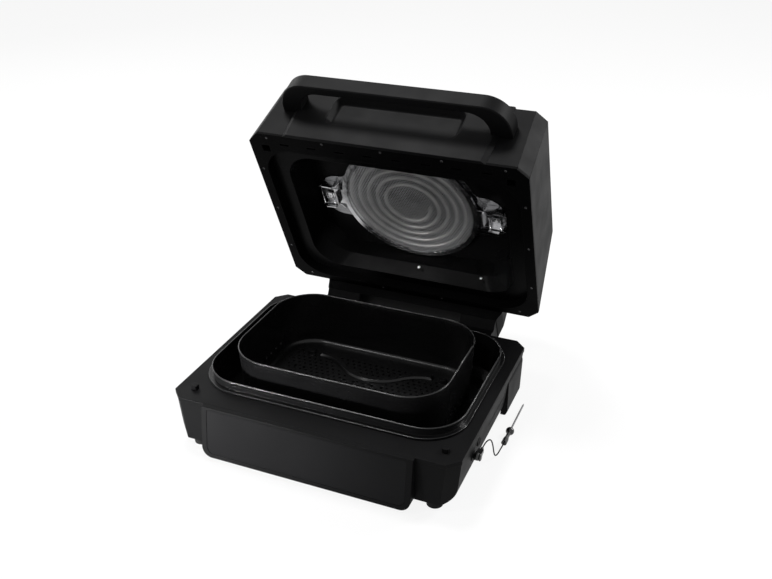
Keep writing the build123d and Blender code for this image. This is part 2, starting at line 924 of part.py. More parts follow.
# Splash guard's holed disc, which lies in the ring
disc_r = guard_r - guard_t - guard_fit
reach = int(guard_r / guard_pitch)
steps = [guard_pitch * n for n in range(-reach, reach + 1)]
hole_limit = guard_r - guard_band - guard_hole
with BuildPart() as guard_disc:
    with BuildSketch(lid.offset(guard_z)):
        with Locations((0, fan_back)):
            Circle(disc_r)
            with Locations(*[(x, y) for x in steps for y in steps if x * x + y * y < hole_limit**2]):
                Rectangle(guard_hole, guard_hole, mode=Mode.SUBTRACT)
    extrude(amount=disc_t)
guard_disc.part.label = "guard_disc"
export_step(guard_disc.part, "parts/guard_disc.step")

# Latches on the shroud's ears, each two rails with a wall between that the guard's ear meets
latch_x = guard_r + guard_ear + latch_gap
latch_low = shroud_low - latch_drop
rail_end = guard_r + latch_rail_up + latch_rail
rail_y = guard_ear_w / 2 + latch_side
latch_w = 2 * rail_y
with BuildPart() as latch_brackets:
    for hand in (1, -1):
        with BuildSketch(side(lid, hand * latch_x)):
            with Locations((fan_back, (shroud_low + latch_low) / 2)):
                Rectangle(latch_w, latch_drop)
        extrude(amount=hand * latch_t)
        for rail in (fan_back - rail_y, fan_back + rail_y + latch_t):
            with BuildSketch(face(lid, rail)):
                with Locations((hand * (rail_end - latch_rail / 2), shroud_low - latch_drop / 2)):
                    Rectangle(latch_rail, latch_drop)
            extrude(amount=latch_t)
        with BuildSketch(lid.offset(shroud_low)):
            with Locations((hand * (latch_x + rail_end) / 2, fan_back)):
                Rectangle(rail_end - latch_x, latch_w)
        extrude(amount=-latch_t)
latch_brackets.part.label = "latch_brackets"
export_step(latch_brackets.part, "parts/latch_brackets.step")

# Finger tabs on the guard's ears
tab_x = guard_r + guard_ear - tab_in
with BuildPart() as guard_tabs:
    with BuildSketch(lid.offset(ring_low)):
        with Locations((-tab_x, fan_back), (tab_x, fan_back)):
            Rectangle(tab_t, tab_w)
    extrude(amount=-tab_h)
guard_tabs.part.label = "guard_tabs"
export_step(guard_tabs.part, "parts/guard_tabs.step")

# Fan wheel, a disc with its hub
wheel_top = drum_top - liner_wall - wheel_gap
wheel_r = drum_r - wheel_room
with BuildPart() as fan_wheel:
    with BuildSketch(lid.offset(wheel_top)):
        with Locations((0, fan_back)):
            Circle(wheel_r)
            Circle(motor_shaft_r, mode=Mode.SUBTRACT)
    extrude(amount=-wheel_t)
    with BuildSketch(lid.offset(wheel_top - wheel_t)):
        with Locations((0, fan_back)):
            Circle(hub_r)
            Circle(motor_shaft_r, mode=Mode.SUBTRACT)
    extrude(amount=-blade_h)
fan_wheel.part.label = "fan_wheel"
export_step(fan_wheel.part, "parts/fan_wheel.step")

# Blades under the wheel's disc, each turned a little from its spoke
with BuildPart() as fan_blades:
    with BuildSketch(lid.offset(wheel_top - wheel_t)):
        with Locations((0, fan_back)):
            with PolarLocations((hub_r + wheel_r) / 2, blade_count):
                Rectangle(wheel_r - hub_r - 2 * blade_in, blade_t, rotation=blade_turn)
    extrude(amount=-blade_h)
fan_blades.part.label = "fan_blades"
export_step(fan_blades.part, "parts/fan_blades.step")

# Fan motor on the drum, and the shaft that it turns
shaft_low = wheel_top - wheel_t - blade_h
shaft_high = drum_top + motor_bore
with BuildPart() as motor_shaft:
    with BuildSketch(lid.offset(shaft_low)):
        with Locations((0, fan_back)):
            Circle(motor_shaft_r)
    extrude(amount=shaft_high - shaft_low)
motor_shaft.part.label = "motor_shaft"
export_step(motor_shaft.part, "parts/motor_shaft.step")

with BuildPart() as fan_motor:
    with BuildSketch(lid.offset(drum_top)):
        with Locations((0, fan_back)):
            Circle(motor_r)
    extrude(amount=lid_top - lid_wall - motor_gap - drum_top)
    with BuildSketch(lid.offset(drum_top)):
        with Locations((0, fan_back)):
            Circle(motor_shaft_r + shaft_clear)
    extrude(amount=motor_bore, mode=Mode.SUBTRACT)
fan_motor.part.label = "fan_motor"
export_step(fan_motor.part, "parts/fan_motor.step")

# Raised panel over the lid's front, top and rear, hollow behind the lid
shell_front = -base_d / 2
shell_top_rear = shell_front + lid_d_top
tail_slope = (tail_y - spine_rear) / (spine_top - tail_z)
flap_lean = atan2(tail_y - spine_rear, spine_top - tail_z)


def flap_y(z, depth=0.0):
    """The rear flap's outer face at height z, or a face behind it."""
    return spine_rear + (spine_top - z) * tail_slope - depth / cos(flap_lean)


def spine_view(inset):
    """The raised panel as seen from the front, wider at its top."""
    half_top = base_w / 2 - spine_in_top - inset
    half_rim = base_w / 2 - spine_in_rim - inset
    half_foot = spine_half_foot - inset
    with BuildSketch(face(lid, 0)) as view:
        with BuildLine():
            Polyline(
                (-half_top, spine_top),
                (half_top, spine_top),
                (half_rim, rim_z),
                (half_foot, tail_z),
                (-half_foot, tail_z),
                (-half_rim, rim_z),
                close=True,
            )
        make_face()
    return view.sketch


def spine_profile():
    """The raised panel seen from the side, down to the shell that it lies on."""
    with BuildSketch(side(lid, 0)) as profile:
        with BuildLine():
            Polyline(
                (shell_front - spine_proud, rim_z),
                (shell_front - spine_proud, spine_top),
                (spine_rear, spine_top),
                (tail_y, tail_z),
                (tail_front, tail_z),
                (tail_front, rim_z),
                (-shell_front, rim_z),
                (-shell_front, frame_top),
                (shell_top_rear, lid_top),
                (shell_front, lid_top),
                (shell_front, rim_z),
                close=True,
            )
        make_face()
        fillet(profile.vertices().group_by(Axis((0, 0, 0), lid.z_dir))[-1], spine_r)
    return profile.sketch


def spine_hollow():
    """The space between the rear flap and the shell, seen from the side."""
    with BuildSketch(side(lid, 0)) as hollow:
        with BuildLine():
            Polyline(
                (flap_y(lid_top, spine_wall), lid_top),
                (flap_y(tail_z + spine_wall, spine_wall), tail_z + spine_wall),
                (tail_front + spine_wall, tail_z + spine_wall),
                (tail_front + spine_wall, rim_z),
                (-shell_front, rim_z),
                (-shell_front, frame_top),
                (shell_top_rear, lid_top),
                close=True,
            )
        make_face()
    return hollow.sketch


def front_bevel(hand, z, share):
    """What the bevel beside the panel's front takes away at height z."""
    half_rim = base_w / 2 - spine_in_rim
    edge = half_rim + share * (spine_in_rim - spine_in_top)
    front = shell_front - spine_proud
    with BuildSketch(lid.offset(z)) as outline:
        with BuildLine():
            Polyline(
                (hand * (edge - spine_bevel_in), front),
                (hand * edge, front + spine_bevel_down),
                (hand * (edge + spine_bevel_in), front + spine_bevel_down),
                (hand * (edge + spine_bevel_in), front - spine_bevel_down),
                (hand * (edge - spine_bevel_in), front - spine_bevel_down),
                close=True,
            )
        make_face()
    return outline.sketch


with BuildPart(mode=Mode.PRIVATE) as flap_room:
    extrude(spine_hollow(), amount=base_w / 2, both=True)
    extrude(spine_view(spine_wall), amount=base_w, both=True, mode=Mode.INTERSECT)

with BuildPart() as lid_spine:
    extrude(spine_profile(), amount=base_w / 2, both=True)
    extrude(spine_view(0), amount=base_w, both=True, mode=Mode.INTERSECT)
    add(flap_room.part, mode=Mode.SUBTRACT)
    for hand in (1, -1):
        loft(sections=[front_bevel(hand, rim_z, 0), front_bevel(hand, spine_top, 1)], mode=Mode.SUBTRACT)
    with BuildSketch(face(lid, shell_front - 2 * spine_proud)):
        with Locations((0, recess_z)):
            RectangleRounded(recess_w, recess_h, recess_r)
    extrude(amount=-2 * spine_proud, mode=Mode.SUBTRACT)
    flap_z = (rim_z + lid_top) / 2
    flap_plane = Plane(
        origin=lid.from_local_coords((0, flap_y(flap_z), flap_z)),
        x_dir=lid.x_dir,
        z_dir=lid.y_dir * cos(flap_lean) + lid.z_dir * sin(flap_lean),
    )
    with BuildSketch(flap_plane):
        with GridLocations(vent_pitch, vent_row, 8, 3):
            Rectangle(vent_w, vent_h)
    extrude(amount=-2 * spine_wall, mode=Mode.SUBTRACT)
lid_spine.part.label = "lid_spine"
export_step(lid_spine.part, "parts/lid_spine.step")

# Finger recess, a tray set in the raised panel's front
mouth_y = shell_front - spine_proud
tray_y = mouth_y + recess_depth + recess_wall


def recess_view(y, inset):
    """The recess across the panel's front, drawn in by inset."""
    with BuildSketch(face(lid, y)) as view:
        with Locations((0, recess_z)):
            RectangleRounded(recess_w - 2 * inset, recess_h - 2 * inset, recess_r - inset)
    return view.sketch


recess_floor = mouth_y + recess_depth
with BuildPart(mode=Mode.PRIVATE) as recess_room:
    loft(sections=[recess_view(mouth_y, recess_wall), recess_view(recess_floor, recess_slope)])
    fillet(recess_room.edges().group_by(Axis((0, 0, 0), lid.y_dir))[-1], recess_floor_r)

with BuildPart() as grip_recess:
    extrude(recess_view(mouth_y, 0), amount=-spine_proud)
    loft(sections=[recess_view(shell_front, 0), recess_view(tray_y, recess_slope)])
    add(recess_room.part, mode=Mode.SUBTRACT)
grip_recess.part.label = "grip_recess"
export_step(grip_recess.part, "parts/grip_recess.step")

# Handle, a bow across the lid's front, whose broad legs are notched over the panel's sides
handle_half = base_w / 2 - handle_in


def bow(half, reach, radius):
    """A plate that stands out from the lid's front, with its two outer corners round."""
    with BuildSketch(lid.offset(handle_low)) as outline:
        with Locations((0, shell_front - reach / 2)):
            Rectangle(2 * half, reach)
        fillet(outline.vertices().group_by(Axis.Y)[0], radius)
    return outline.sketch


with BuildPart() as lid_handle:
    extrude(bow(handle_half, handle_out, handle_r), amount=handle_h)
    flats = lid_handle.faces().sort_by(Axis((0, 0, 0), lid.z_dir))
    rims = [
        edge
        for flat in (flats[0], flats[-1])
        for edge in flat.edges()
        if lid.to_local_coords(edge.center()).Y < shell_front - handle_edge
    ]
    chamfer(rims, handle_edge)
    extrude(
        bow(handle_half - handle_leg, handle_out - handle_bar, handle_gap_r),
        amount=handle_h,
        mode=Mode.SUBTRACT,
    )
    add(lid_spine.part, mode=Mode.SUBTRACT)
lid_handle.part.label = "lid_handle"
export_step(lid_handle.part, "parts/lid_handle.step")

# Hinge arms under the rear flap, which turn on the shaft
with BuildPart() as hinge_arms:
    for start, end in ((-arm_out, -arm_in), (arm_in, arm_out)):
        with BuildSketch(side(lid, start)):
            with BuildLine():
                Polyline(
                    (tail_front + arm_edge, tail_z),
                    (tail_y - arm_edge, tail_z),
                    (hinge_y + arm_rear, hinge_z + arm_rear_up),
                    (hinge_y, hinge_z),
                    (hinge_y - arm_belly, hinge_z + arm_belly_up),
                    (hinge_y - arm_waist, hinge_z + arm_waist_up),
                    close=True,
                )
            make_face()
            with Locations((hinge_y, hinge_z)):
                Circle(knuckle_r)
        extrude(amount=end - start)
    with BuildSketch(side(lid, -shaft_end - shaft_clear)):
        with Locations((hinge_y, hinge_z)):
            Circle(shaft_r + shaft_clear)
    extrude(amount=2 * (shaft_end + shaft_clear), mode=Mode.SUBTRACT)
hinge_arms.part.label = "hinge_arms"
export_step(hinge_arms.part, "parts/hinge_arms.step")

# Probe socket in the base's right wall
socket_out = side_wall_x(socket_z) + socket_proud
with BuildPart() as probe_socket:
    with BuildSketch(side(deck, socket_out)):
        with Locations((socket_y, socket_z)):
            Circle(socket_r)
    extrude(amount=-socket_l)
    with BuildSketch(side(deck, socket_out)):
        with Locations((socket_y, socket_z)):
            Circle(jack_r + jack_clear)
    extrude(amount=-jack_l - socket_proud, mode=Mode.SUBTRACT)
probe_socket.part.label = "probe_socket"
export_step(probe_socket.part, "parts/probe_socket.step")

# Cable's route from the plug down to the surface and along it, each point chosen by hand
cable_route = [
    (213.0, -66.0, -34.0),
    (213.0, -55.5, -34.0),
    (214.3, -45.8, -35.2),
    (215.8, -37.5, -39.5),
    (216.8, -32.0, -48.5),
    (217.8, -29.5, -58.5),
    (218.6, -28.2, -67.5),
    (219.6, -24.5, -75.5),
    (220.8, -17.0, -78.0),
    (222.4, -10.5, -74.5),
    (224.2, -5.0, -70.7),
    (224.1, 2.0, -71.1),
]

# Probe's plug, a jack on a barrel with a boot that runs back along the wall
plug_from = socket_out + plug_gap
plug_mid = plug_from + plug_l / 2
with BuildPart() as probe_plug:
    with BuildSketch(side(deck, plug_from)):
        with Locations((socket_y, socket_z)):
            Circle(plug_r)
    extrude(amount=plug_l)
    with BuildSketch(side(deck, plug_from)):
        with Locations((socket_y, socket_z)):
            Circle(jack_r)
    extrude(amount=-plug_gap - jack_l)
    with BuildSketch(face(deck, socket_y)):
        with Locations((plug_mid, socket_z)):
            Rectangle(plug_l, 2 * plug_r)
    with BuildSketch(face(deck, socket_y + boot_l)):
        with Locations((cable_route[0][0], cable_route[0][2])):
            Rectangle(boot_end_w, boot_end_h)
    loft()
    with BuildSketch(face(deck, socket_y + boot_l)):
        with Locations((cable_route[0][0], cable_route[0][2])):
            Circle(cord_d)
    extrude(amount=socket_y + boot_l - cable_route[0][1])
probe_plug.part.label = "probe_plug"
export_step(probe_plug.part, "parts/probe_plug.step")

# Cable of the probe, each bend as large as the two runs beside it allow
bend_share = 0.45
route = [Vector(*point) for point in cable_route]
bends = []
for before, here, after in zip(route, route[1:], route[2:]):
    turn = (here - before).get_angle(after - here)
    run = min((here - before).length, (after - here).length)
    bends.append(bend_share * run / tan(radians(turn) / 2))
print("cable bend radii", [round(radius, 1) for radius in bends])
with BuildPart() as probe_cable:
    with BuildLine(deck) as cable_path:
        FilletPolyline(*cable_route, radius=bends)
    with BuildSketch(Plane(origin=cable_path.line @ 0, z_dir=cable_path.line % 0)):
        RegularPolygon(cord_d / 2, cord_sides)
    sweep(path=cable_path.line)
cable_length = sum(edge.length for edge in cable_path.edges())
print("cable length", round(cable_length, 1), "volume", round(probe_cable.part.volume, 1))
section = cord_sides * sin(2 * pi / cord_sides) * cord_d**2 / 8
print("section times length", round(section * cable_length, 1))
probe_cable.part.label = "probe_cable"
export_step(probe_cable.part, "parts/probe_cable.step")

# Grip and needle in line with the cable's end, lying on the grip's bulb and the needle's tip
tail_end = deck.from_local_coords(route[-1])
probe_way = (route[-1] - route[-2]).normalized()
along = Plane(origin=tail_end, x_dir=probe_way, z_dir=probe_way.cross(Vector(0, 0, 1)))
bulb_back = (grip_bulb_r**2 - grip_waist_r**2) ** 0.5
bulb_front = (grip_bulb_r**2 - grip_nose_r**2) ** 0.5
grip_end = grip_bulb_x + bulb_front + grip_nose
with BuildPart() as probe_grip:
    with BuildSketch(along):
        with BuildLine():
            Polyline(
                (grip_bulb_x - bulb_back, grip_waist_r),
                (grip_waist_x, grip_waist_r),
                (grip_tail_l, grip_tail_r),
                (0, grip_tail_r),
                (0, 0),
                (grip_end, 0),
                (grip_end, grip_nose_r),
                (grip_bulb_x + bulb_front, grip_nose_r),
            )
            ThreePointArc(
                (grip_bulb_x + bulb_front, grip_nose_r),
                (grip_bulb_x, grip_bulb_r),
                (grip_bulb_x - bulb_back, grip_waist_r),
            )
        make_face()
    revolve(axis=Axis(tail_end, probe_way))
probe_grip.part.label = "probe_grip"
export_step(probe_grip.part, "parts/probe_grip.step")

with BuildPart() as probe_needle:
    with BuildSketch(along):
        with BuildLine():
            Polyline(
                (grip_end, 0),
                (grip_end, needle_r),
                (grip_end + needle_l - needle_point, needle_r),
                (grip_end + needle_l, 0),
                close=True,
            )
        make_face()
    revolve(axis=Axis(tail_end, probe_way))
probe_needle.part.label = "probe_needle"
export_step(probe_needle.part, "parts/probe_needle.step")
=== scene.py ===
"""Looks of a countertop air fryer grill that stands open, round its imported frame, in metres."""

import json
from math import cos, pi, radians, sin, sqrt

import bmesh
import bpy
from mathutils import Matrix, Vector
from mathutils.bvhtree import BVHTree


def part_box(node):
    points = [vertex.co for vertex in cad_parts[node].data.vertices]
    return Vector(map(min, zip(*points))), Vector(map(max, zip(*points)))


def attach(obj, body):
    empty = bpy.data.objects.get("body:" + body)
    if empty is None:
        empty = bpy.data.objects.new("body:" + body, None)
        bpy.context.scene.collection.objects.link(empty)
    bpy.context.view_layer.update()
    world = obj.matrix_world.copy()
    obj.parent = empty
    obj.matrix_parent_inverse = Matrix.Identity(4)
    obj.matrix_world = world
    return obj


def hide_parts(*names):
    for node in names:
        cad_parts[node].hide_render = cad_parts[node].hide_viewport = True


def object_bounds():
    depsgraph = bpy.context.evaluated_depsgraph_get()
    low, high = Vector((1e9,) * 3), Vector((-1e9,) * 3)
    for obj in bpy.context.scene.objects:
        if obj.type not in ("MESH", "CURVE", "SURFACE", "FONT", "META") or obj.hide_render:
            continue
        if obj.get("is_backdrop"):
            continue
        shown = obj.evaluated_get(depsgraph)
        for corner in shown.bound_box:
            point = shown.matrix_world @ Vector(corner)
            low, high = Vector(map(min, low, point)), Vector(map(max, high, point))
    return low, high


MM = 0.001
RIGHT = Vector((1, 0, 0))
DOWN = Vector((0, 0, -1))

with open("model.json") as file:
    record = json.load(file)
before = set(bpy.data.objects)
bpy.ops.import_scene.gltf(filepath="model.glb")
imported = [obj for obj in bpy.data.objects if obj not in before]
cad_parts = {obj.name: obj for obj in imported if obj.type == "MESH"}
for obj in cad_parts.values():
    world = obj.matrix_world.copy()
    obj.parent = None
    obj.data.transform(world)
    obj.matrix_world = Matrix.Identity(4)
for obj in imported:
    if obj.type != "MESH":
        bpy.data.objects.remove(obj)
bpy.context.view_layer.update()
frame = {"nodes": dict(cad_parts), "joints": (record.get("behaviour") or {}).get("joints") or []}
nodes = frame["nodes"]

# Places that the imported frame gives
deck_low, deck_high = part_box("base_deck")
pot_low, pot_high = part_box("inner_pot")
basket_low, basket_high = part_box("crisper_basket")
lid_hinge = next(joint for joint in frame["joints"] if joint["name"] == "lid_hinge")
BASE_Y = (deck_low.y + deck_high.y) / 2
DECK_Z = deck_high.z
HINGE = Vector(lid_hinge["pos_m"])
HINGE.x = 0
OPEN_ANGLE = radians(-lid_hinge["range_deg"][0])


def on_base(x, y, z):
    """A point given in millimetres from the middle of the deck's top."""
    return Vector((x * MM, BASE_Y + y * MM, DECK_Z + z * MM))


def on_lid(x, y, z):
    """A point of the open lid, given in millimetres where it lies when the lid is closed."""
    closed = on_base(x, y, z) - HINGE
    back = closed.y * cos(OPEN_ANGLE) + closed.z * sin(OPEN_ANGLE)
    rise = closed.z * cos(OPEN_ANGLE) - closed.y * sin(OPEN_ANGLE)
    return HINGE + Vector((closed.x, back, rise))


LID_BACK = (on_lid(0, 1, 0) - on_lid(0, 0, 0)).normalized()
LID_UP = (on_lid(0, 0, 1) - on_lid(0, 0, 0)).normalized()


# Materials

IOR = 1.5
NOISE_LOW = 0.35
NOISE_HIGH = 0.65
BEVEL_SAMPLES = 4


def shaded(shade, share):
    """A shade made darker or lighter."""
    return [c * share for c in shade]


class Finish:
    """A material, with a short way to write its nodes."""

    def __init__(self, name, **values):
        self.material = bpy.data.materials.new(name)
        self.material.use_nodes = True
        self.tree = self.material.node_tree
        self.tree.nodes.clear()
        out = self.add("ShaderNodeOutputMaterial")
        self.shader = self.add("ShaderNodeBsdfPrincipled", **values)
        self.link(self.shader.outputs[0], out.inputs["Surface"])
        self.place = self.add("ShaderNodeTexCoord").outputs["Object"]

    def add(self, kind, **values):
        """A new node, with the values of its inputs, which are named with underscores."""
        node = self.tree.nodes.new(kind)
        for name, value in values.items():
            node.inputs[name.replace("_", " ")].default_value = value
        return node

    def link(self, source, target):
        self.tree.links.new(source, target)

    def noise(self, scale, detail):
        """Noise over the object, as a factor."""
        node = self.add("ShaderNodeTexNoise", Scale=scale, Detail=detail)
        self.link(self.place, node.inputs["Vector"])
        return node.outputs["Fac"]

    def colours(self, source, low, high, at=(NOISE_LOW, NOISE_HIGH)):
        """Two colours, blended by a factor between two of its values."""
        node = self.add("ShaderNodeValToRGB")
        for stop, place, colour in zip(node.color_ramp.elements, at, (low, high)):
            stop.position = place
            stop.color = (*colour, 1)
        self.link(source, node.inputs["Fac"])
        self.link(node.outputs["Color"], self.shader.inputs["Base Color"])

    def roughness(self, source, low, high):
        """Roughness between two values, changed by a factor."""
        ends = {"From_Min": NOISE_LOW, "From_Max": NOISE_HIGH, "To_Min": low, "To_Max": high}
        node = self.add("ShaderNodeMapRange", **ends)
        self.link(source, node.inputs["Value"])
        self.link(node.outputs["Result"], self.shader.inputs["Roughness"])

    def bump(self, source, strength, distance, edge=0.0):
        """Relief from a factor, with edges that look rounded by a radius."""
        node = self.add("ShaderNodeBump", Strength=strength, Distance=distance)
        self.link(source, node.inputs["Height"])
        if edge:
            bevel = self.add("ShaderNodeBevel", Radius=edge)
            bevel.samples = BEVEL_SAMPLES
            self.link(bevel.outputs["Normal"], node.inputs["Normal"])
        self.link(node.outputs["Normal"], self.shader.inputs["Normal"])


def satin_plastic(name, shade, rough, gloss):
    """Moulded plastic with a fine spark-eroded grain, a little worn in patches."""
    made = Finish(name, IOR=IOR, Specular_IOR_Level=gloss)
    made.colours(made.noise(9, 3), shaded(shade, 0.85), shaded(shade, 1.15))
    made.roughness(made.noise(25, 4), rough - 0.03, rough + 0.04)
    made.bump(made.noise(1600, 2), strength=0.3, distance=0.05 * MM, edge=1.3 * MM)
    return made.material


def non_stick(name, shade, rough, gloss):
    """Dark sprayed coating with a fine orange peel and pale specks."""
    made = Finish(name, IOR=IOR, Specular_IOR_Level=gloss)
    specks = [c * 1.9 + 0.002 for c in shade]
    made.colours(made.noise(1400, 1), shade, specks, at=(0.55, 0.8))
    made.roughness(made.noise(18, 3), rough - 0.04, rough + 0.05)
    made.bump(made.noise(420, 2), strength=0.2, distance=0.06 * MM, edge=0.6 * MM)
    return made.material


def sheet_steel(name, shade, rough):
    """Bright rolled sheet with fine lines along one way."""
    made = Finish(name, Metallic=1.0)
    stretch = made.add("ShaderNodeMapping", Scale=(12, 900, 900))
    made.link(made.place, stretch.inputs["Vector"])
    lines = made.add("ShaderNodeTexNoise", Scale=1.0, Detail=3)
    made.link(stretch.outputs["Vector"], lines.inputs["Vector"])
    made.colours(made.noise(30, 3), shaded(shade, 0.88), shade)
    made.roughness(lines.outputs["Fac"], rough - 0.06, rough + 0.08)
    made.bump(lines.outputs["Fac"], strength=0.15, distance=0.03 * MM, edge=0.4 * MM)
    return made.material


def polished_panel(name, gloss):
    """Deep black polished panel with faint smears."""
    made = Finish(name, IOR=IOR, Specular_IOR_Level=gloss)
    made.colours(made.noise(3, 2), (0.003, 0.003, 0.0033), (0.005, 0.005, 0.0054))
    made.roughness(made.noise(14, 5), 0.34, 0.38)
    made.bump(made.noise(6, 1), strength=0.05, distance=0.2 * MM)
    return made.material


def plain(name, shade, rough, metallic=0.0, gloss=0.5):
    """A simple finish with small changes of shade and gloss."""
    made = Finish(name, Metallic=metallic, IOR=IOR, Specular_IOR_Level=gloss)
    made.colours(made.noise(60, 3), shaded(shade, 0.85), shaded(shade, 1.1))
    made.roughness(made.noise(120, 2), rough - 0.05, rough + 0.05)
    made.bump(made.noise(720, 2), strength=0.2, distance=0.05 * MM)
    return made.material


plastic = satin_plastic("satin_black", (0.0028, 0.0028, 0.003), rough=0.5, gloss=0.05)
# A darker copy of the satin plastic with weaker gloss, for the lid's frame and skirt: its darkness
# is painted shade on the lid's underside.
plastic_painted_shade = satin_plastic("black_plastic_painted_shade", (0.0016, 0.0016, 0.0017), rough=0.42, gloss=0.012)
coating = non_stick("non_stick", (0.0042, 0.0042, 0.0044), rough=0.24, gloss=0.22)
# A darker copy of the coating for the lid's liner and ceiling: its darkness is painted shade in
# the lid's hollow.
lining_painted_shade = non_stick("lining_painted_shade", (0.0016, 0.0016, 0.0017), rough=0.3, gloss=0.025)
# A lighter, glossier copy of the coating for the rolled rims: its lighter colour is a painted
# highlight along the rims.
rolled = non_stick("rolled_rim", (0.005, 0.005, 0.0052), rough=0.26, gloss=0.35)
glass = polished_panel("panel_gloss", gloss=0.06)
steel = sheet_steel("sheet_steel", (0.24, 0.24, 0.245), rough=0.22)
guard_steel = plain("guard_steel", (0.6, 0.6, 0.61), rough=0.38, metallic=0.7)
element = plain("element_tube", (0.27, 0.265, 0.26), rough=0.42, metallic=0.7)
bright = plain("bright_sheet", (0.62, 0.62, 0.63), rough=0.22, metallic=1.0)
screw_black = plain("screw_black", (0.02, 0.02, 0.021), rough=0.3, metallic=0.4)
# Near-black for the side seam, a dark joint, and for the basket's floor holes, where it is painted
# shade in place of the openings.
joint_dark_hole_shade = plain("joint_dark_and_hole_shade", (0.0008, 0.0008, 0.0008), rough=0.7, gloss=0.02)
# Dark sheet for the ring behind the heating element: painted shade that darkens the lid's cavity
# seen through the guard.
painted_shade_sheet = plain("ring_painted_shade", (0.018, 0.018, 0.019), rough=0.45, metallic=0.7)
barrel_black = plain("plug_black", (0.006, 0.006, 0.0062), rough=0.22)
pale = plain("pale_steel", (0.85, 0.85, 0.85), rough=0.35, metallic=0.5)
rubber = plain("rubber", (0.006, 0.006, 0.006), rough=0.7, gloss=0.1)
board_green = plain("board_green", (0.01, 0.07, 0.03), rough=0.5)
motor_paint = plain("motor_paint", (0.12, 0.12, 0.125), rough=0.5, metallic=0.6)

finishes = {
    plastic: [
        "base_body",
        "base_deck",
        "closing_lugs",
        "panel_housing",
        "hinge_housing",
        "cord_inlet",
        "lid_shell",
        "lid_spine",
        "grip_recess",
        "lid_handle",
        "hinge_arms",
        "probe_socket",
    ],
    barrel_black: ["probe_plug", "probe_grip"],
    glass: ["panel_glass"],
    coating: ["inner_pot", "crisper_basket"],
    plastic_painted_shade: ["lid_frame", "lid_skirt"],
    lining_painted_shade: ["lid_liner", "lid_ceiling"],
    steel: [
        "shroud_plate",
        "heater_bars",
        "latch_brackets",
        "guard_disc",
        "pot_well",
        "base_plate",
        "hinge_shaft",
        "motor_shaft",
        "probe_needle",
        "fan_wheel",
        "fan_blades",
    ],
    bright: ["guard_ring", "guard_tabs"],
    element: ["heating_element"],
    motor_paint: ["fan_motor"],
    board_green: ["control_board", "power_board"],
    rubber: ["feet", "basket_feet", "probe_cable"],
}
for material, names in finishes.items():
    for name in names:
        nodes[name].data.materials.clear()
        nodes[name].data.materials.append(material)


# Ways to make objects and forms

TUBE_SIDES = 10
HEXAGON = [pi / 6 + k * pi / 3 for k in range(6)]
CORNER_GRID = 24
CORNER_STEPS = 12
BEVEL_STEPS = 2


def add_object(name, data):
    """A new object in the scene."""
    made = bpy.data.objects.new(name, data)
    bpy.context.scene.collection.objects.link(made)
    return made


def piece(name, form, material, body):
    """An object made from a form, with its finish, riding on a body."""
    mesh = bpy.data.meshes.new(name)
    form.normal_update()
    form.to_mesh(mesh)
    form.free()
    mesh.materials.append(material)
    made = add_object(name, mesh)
    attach(made, body)
    return made


def round_angles(sides):
    """Angles spread evenly round a circle."""
    return [2 * pi * k / sides for k in range(sides)]


def skin(form, rings, smooth=False):
    """Faces between each ring of corners and the next."""
    for before, after in zip(rings, rings[1:]):
        for k in range(len(before)):
            face = form.faces.new((before[k - 1], before[k], after[k], after[k - 1]))
            face.smooth = smooth


def perforated_disc(centre, across, along, radius, pitch, hole):
    """A thin disc of hexagonal cells, each with a hexagonal hole."""
    form = bmesh.new()
    corners = {}

    def corner(x, y):
        """A cell's corner, the same one for the cells that share it."""
        key = (round(x / pitch * CORNER_GRID), round(y / pitch * CORNER_GRID))
        if key not in corners:
            corners[key] = form.verts.new(centre + across * x + along * y)
        return corners[key]

    cell = pitch / sqrt(3)
    rows = int(radius / (pitch * sqrt(3) / 2)) + 1
    for row in range(-rows, rows + 1):
        for column in range(-rows, rows + 1):
            x = pitch * (column + (row % 2) / 2)
            y = pitch * row * sqrt(3) / 2
            if x * x + y * y > (radius - pitch) ** 2:
                continue
            outer = []
            inner = []
            for t in HEXAGON:
                outer.append(corner(x + cell * cos(t), y + cell * sin(t)))
            for t in HEXAGON:
                place = centre + across * (x + hole * cos(t)) + along * (y + hole * sin(t))
                inner.append(form.verts.new(place))
            skin(form, [outer, inner])
    return form


def tube(points, radius):
    """A round tube through points, closed at both ends."""
    form = bmesh.new()
    rings = []
    steady = (points[1] - points[0]).normalized().orthogonal().normalized()
    for n, point in enumerate(points):
        way = (points[min(n + 1, len(points) - 1)] - points[max(n - 1, 0)]).normalized()
        steady = (steady - way * steady.dot(way)).normalized()
        across = way.cross(steady)
        ring = []
        for t in round_angles(TUBE_SIDES):
            place = point + steady * radius * cos(t) + across * radius * sin(t)
            ring.append(form.verts.new(place))
        rings.append(ring)
    skin(form, rings, smooth=True)
    form.faces.new(rings[0])
    form.faces.new(reversed(rings[-1]))
    return form


def strip(points, low, high, thick):
    """A bent sheet strip between two heights of the lid, through points in its plan."""
    form = bmesh.new()
    rings = []
    for n, (x, y) in enumerate(points):
        before = Vector(points[max(n - 1, 0)])
        after = Vector(points[min(n + 1, len(points) - 1)])
        way = (after - before).normalized()
        aside = Vector((-way.y, way.x)) * thick / 2
        ring = []
        for hand, z in ((1, low), (1, high), (-1, high), (-1, low)):
            ring.append(form.verts.new(on_lid(x + hand * aside.x, y + hand * aside.y, z)))
        rings.append(ring)
    skin(form, rings)
    form.faces.new(rings[0])
    form.faces.new(reversed(rings[-1]))
    return form


def lathed(foot, out, profile, sides=24, hollow=False):
    """A form turned about an axis, from pairs of radius and height in millimetres.

    It is solid and closed at both ends, or else a hollow ring whose profile closes on itself.
    """
    form = bmesh.new()
    across = out.orthogonal().normalized()
    along = out.cross(across)
    rings = []
    for radius, height in profile:
        centre = foot + out * height * MM
        ring = []
        for t in round_angles(sides):
            place = centre + (across * cos(t) + along * sin(t)) * radius * MM
            ring.append(form.verts.new(place))
        rings.append(ring)
    if hollow:
        rings.append(rings[0])
    skin(form, rings, smooth=not hollow)
    if not hollow:
        form.faces.new(reversed(rings[0]))
        form.faces.new(rings[-1])
    return form


